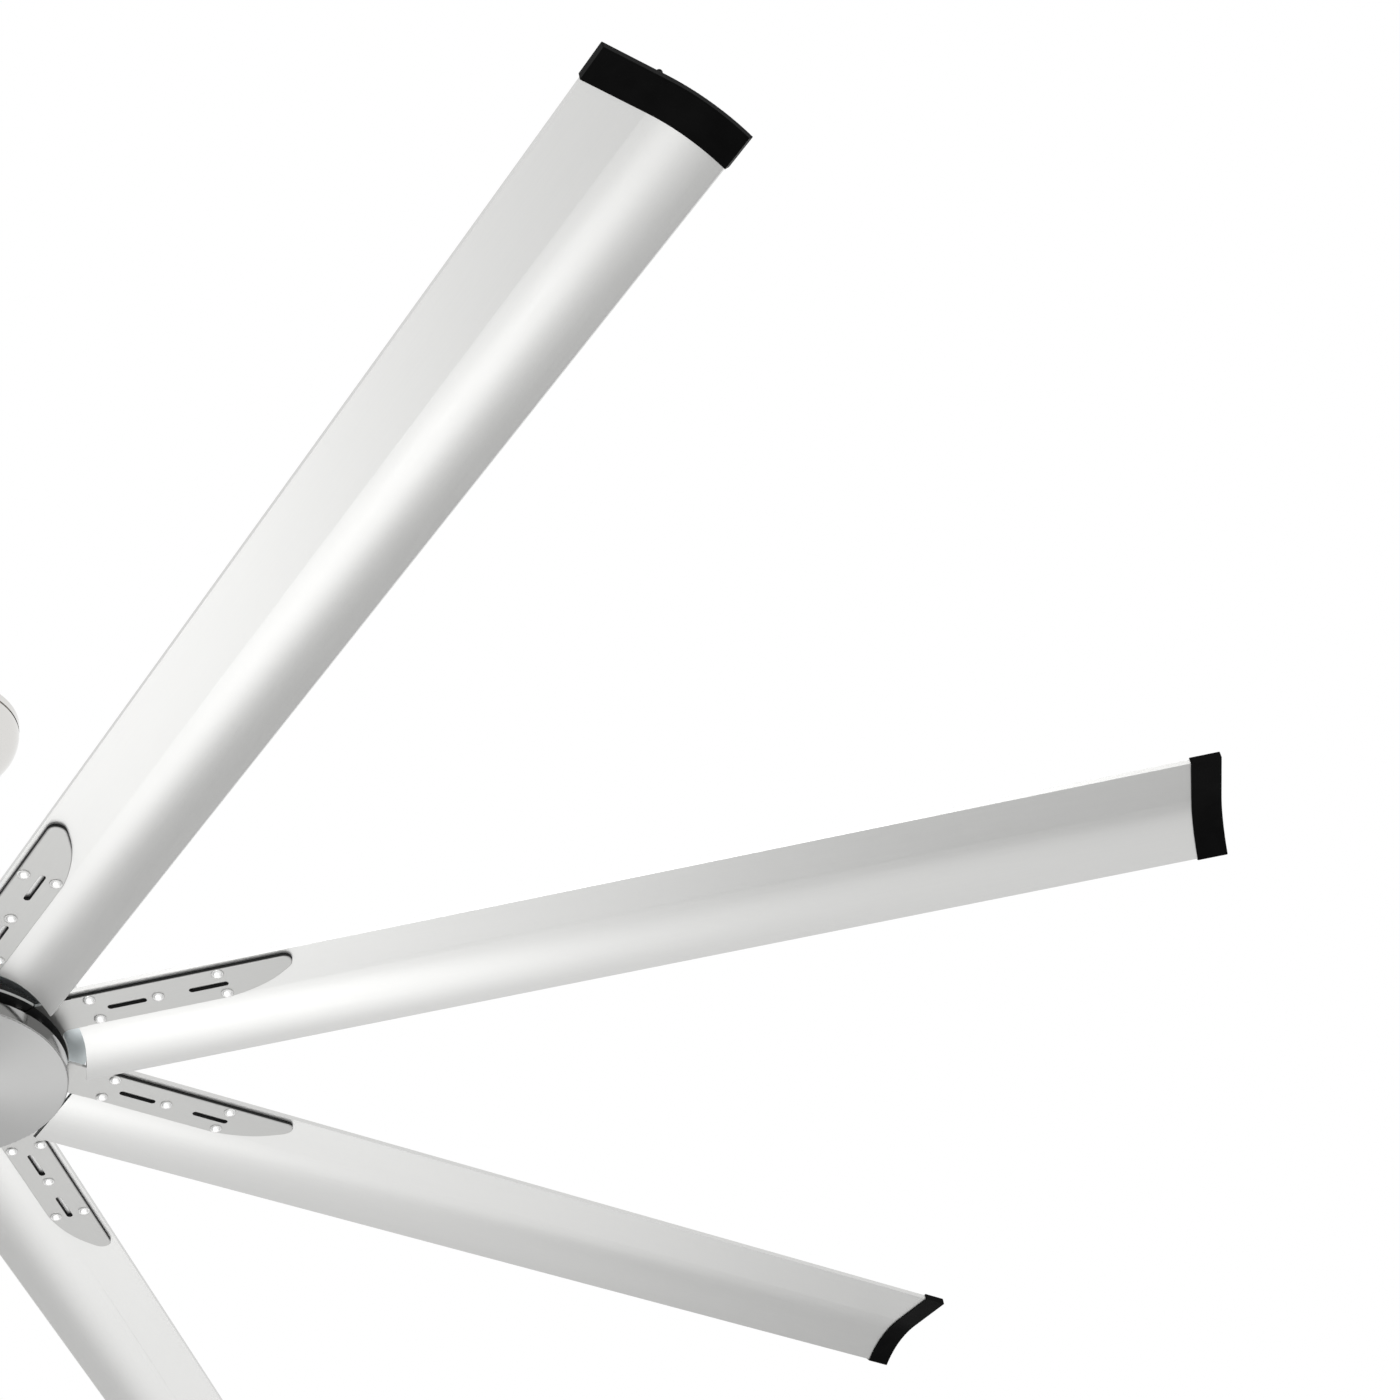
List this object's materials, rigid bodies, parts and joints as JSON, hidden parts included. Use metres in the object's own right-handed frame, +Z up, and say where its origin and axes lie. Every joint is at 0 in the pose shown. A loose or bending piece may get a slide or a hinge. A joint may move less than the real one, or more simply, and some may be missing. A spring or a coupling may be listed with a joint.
{
  "type": "ceiling fan",
  "caption": "Large downrod ceiling fan with curved hollow aluminium blades on a direct-drive motor, hung on a ball in a ceiling bracket.",
  "frame": {"origin": "middle of the flat face that lies against the ceiling, on the downrod's axis", "axes": "+Z up into the ceiling along the downrod, Y along the bracket strap and the swing axis"},
  "size_m": [2.3954, 2.3954, 0.5156],
  "materials": {
    "arm_screws": "bright plated",
    "ball_cross_pin": "plated",
    "bearing_balls": "polished steel",
    "blade": "satin anodised extrusion",
    "blade_arm": "satin plated steel plate",
    "blade_gaskets": "black rubber sheet",
    "blade_screws": "bright plated",
    "blade_tip_cap": "black moulded plastic, satin",
    "bottom_cap": "satin brushed nickel",
    "bottom_cap_screws": "plated",
    "canopy": "polished nickel",
    "canopy_ring": "polished nickel",
    "canopy_screws": "plated",
    "cap_support_plate": "zinc plated",
    "ceiling_bracket": "zinc plated steel",
    "clevis_clip": "spring wire",
    "clevis_pin": "plated",
    "control_board": "green board",
    "coupling_cover": "satin nickel finish",
    "downrod": "satin nickel finish",
    "flywheel": "black painted",
    "hanger_ball": "black nylon",
    "housing_screws": "plated",
    "lower_bearing_inner_ring": "ground steel",
    "lower_bearing_outer_ring": "ground steel",
    "motor_housing": "satin nickel finish",
    "motor_shaft": "ground steel",
    "motor_yoke": "zinc plated casting",
    "remote_receiver": "white plastic",
    "rotor_case_screws": "plated",
    "rotor_lower_shield": "cast",
    "rotor_magnets": "dark ferrite",
    "rotor_upper_case": "plated steel",
    "set_screws": "black oxide",
    "shaft_nut": "zinc plated",
    "stator_core": "laminated steel",
    "stator_windings": "enamelled copper",
    "upper_bearing_inner_ring": "ground steel",
    "upper_bearing_outer_ring": "ground steel"
  },
  "bodies": {
    "ceiling_mount": {"ceiling_bracket": "ceiling_bracket", "canopy": "canopy", "canopy_ring": "canopy_ring", "canopy_screws": "canopy_screws", "remote_receiver": "remote_receiver"},
    "hanging_motor": {"ball_cross_pin": "ball_cross_pin", "bottom_cap": "bottom_cap", "bottom_cap_screws": "bottom_cap_screws", "cap_support_plate": "cap_support_plate", "clevis_clip": "clevis_clip", "clevis_pin": "clevis_pin", "control_board": "control_board", "coupling_cover": "coupling_cover", "downrod": "downrod", "hanger_ball": "hanger_ball", "housing_screws": "housing_screws", "lower_bearing_inner_ring": "lower_bearing_inner_ring", "motor_housing": "motor_housing", "motor_shaft": "motor_shaft", "motor_yoke": "motor_yoke", "set_screws": "set_screws", "shaft_nut": "shaft_nut", "stator_core": "stator_core", "stator_windings": "stator_windings", "upper_bearing_inner_ring": "upper_bearing_inner_ring"},
    "rotor": {"arm_screws": "arm_screws", "bearing_balls": "bearing_balls", "blade_1": "blade", "blade_2": "blade", "blade_3": "blade", "blade_4": "blade", "blade_5": "blade", "blade_6": "blade", "blade_7": "blade", "blade_8": "blade", "blade_arm_1": "blade_arm", "blade_arm_2": "blade_arm", "blade_arm_3": "blade_arm", "blade_arm_4": "blade_arm", "blade_arm_5": "blade_arm", "blade_arm_6": "blade_arm", "blade_arm_7": "blade_arm", "blade_arm_8": "blade_arm", "blade_gaskets": "blade_gaskets", "blade_screws": "blade_screws", "blade_tip_cap_1": "blade_tip_cap", "blade_tip_cap_2": "blade_tip_cap", "blade_tip_cap_3": "blade_tip_cap", "blade_tip_cap_4": "blade_tip_cap", "blade_tip_cap_5": "blade_tip_cap", "blade_tip_cap_6": "blade_tip_cap", "blade_tip_cap_7": "blade_tip_cap", "blade_tip_cap_8": "blade_tip_cap", "flywheel": "flywheel", "lower_bearing_outer_ring": "lower_bearing_outer_ring", "rotor_case_screws": "rotor_case_screws", "rotor_lower_shield": "rotor_lower_shield", "rotor_magnets": "rotor_magnets", "rotor_upper_case": "rotor_upper_case", "upper_bearing_outer_ring": "upper_bearing_outer_ring"}
  },
  "joints": [
    {"name": "hanger_swing", "type": "hinge", "parent": "ceiling_mount", "child": "hanging_motor", "pos_m": [0, 0, -0.038], "axis": [0, 1, 0], "range_deg": [-12, 12]},
    {"name": "rotor_spin", "type": "hinge", "parent": "hanging_motor", "child": "rotor", "pos_m": [0, 0, -0.466], "axis": [0, 0, 1], "continuous": true}
  ]
}
